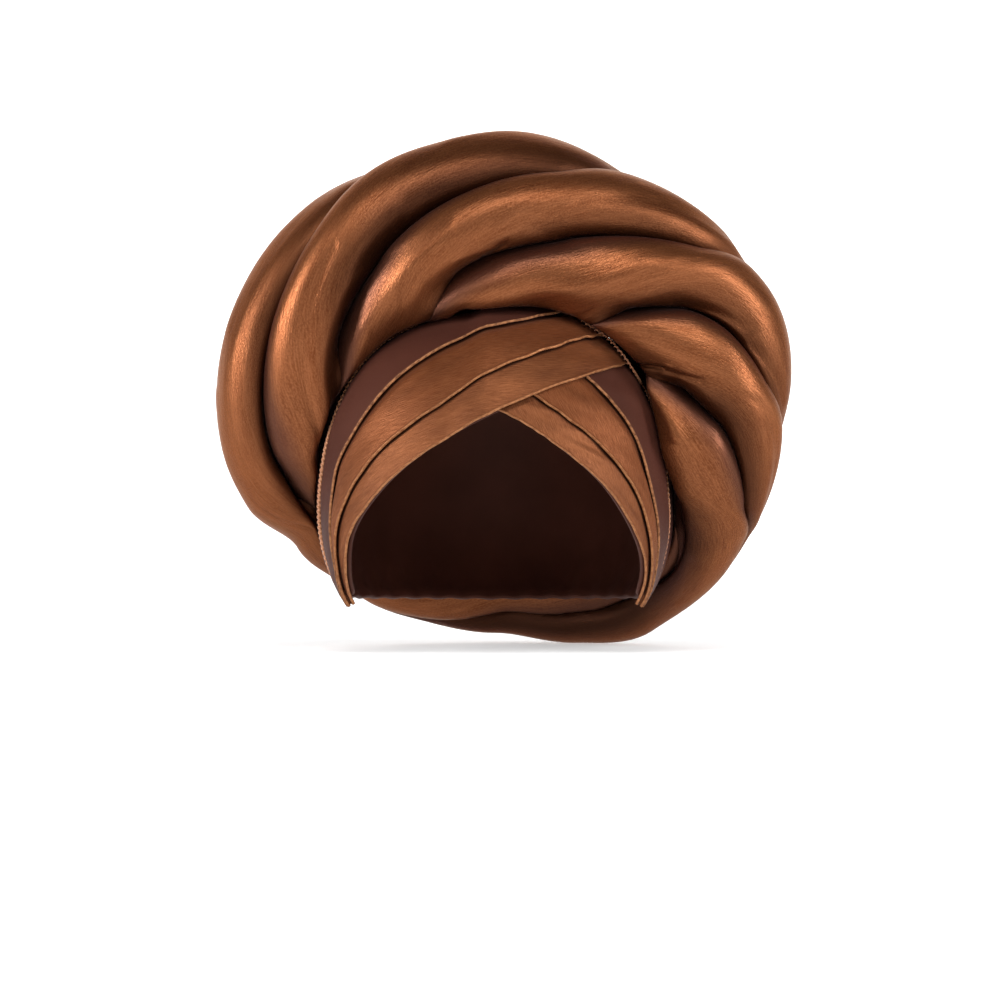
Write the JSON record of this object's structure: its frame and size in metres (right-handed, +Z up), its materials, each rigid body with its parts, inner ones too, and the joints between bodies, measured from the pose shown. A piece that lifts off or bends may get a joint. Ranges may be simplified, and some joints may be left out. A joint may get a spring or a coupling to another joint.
{
  "type": "tied gele head wrap",
  "caption": "Tied head wrap with crossing pleats over the brow and a ring of padded rolls twisted around an open head cap.",
  "frame": {"origin": "middle of the head hollow, at the level where the cap is widest and grips the head", "axes": "+Z up out of the crown, -Y out of the wearer's face, +X to the wearer's left"},
  "size_m": [0.265, 0.2344, 0.2374],
  "materials": {
    "brown_satin": "copper brown satin with a soft sheen",
    "shade_satin": "smooth dark brown satin",
    "piping_thread": "sewn cord of copper brown thread"
  },
  "bodies": {
    "root": {"head_cap": "shade_satin", "right_brow_pleat": "brown_satin", "right_middle_pleat": "brown_satin", "right_top_panel": "shade_satin", "left_brow_pleat": "brown_satin", "left_middle_pleat": "brown_satin", "left_top_panel": "shade_satin", "right_piping": "piping_thread", "left_piping": "piping_thread", "padded_roll_1": "brown_satin", "padded_roll_2": "brown_satin", "padded_roll_3": "brown_satin", "padded_roll_4": "brown_satin", "padded_roll_5": "brown_satin", "padded_roll_6": "brown_satin"}
  },
  "joints": []
}
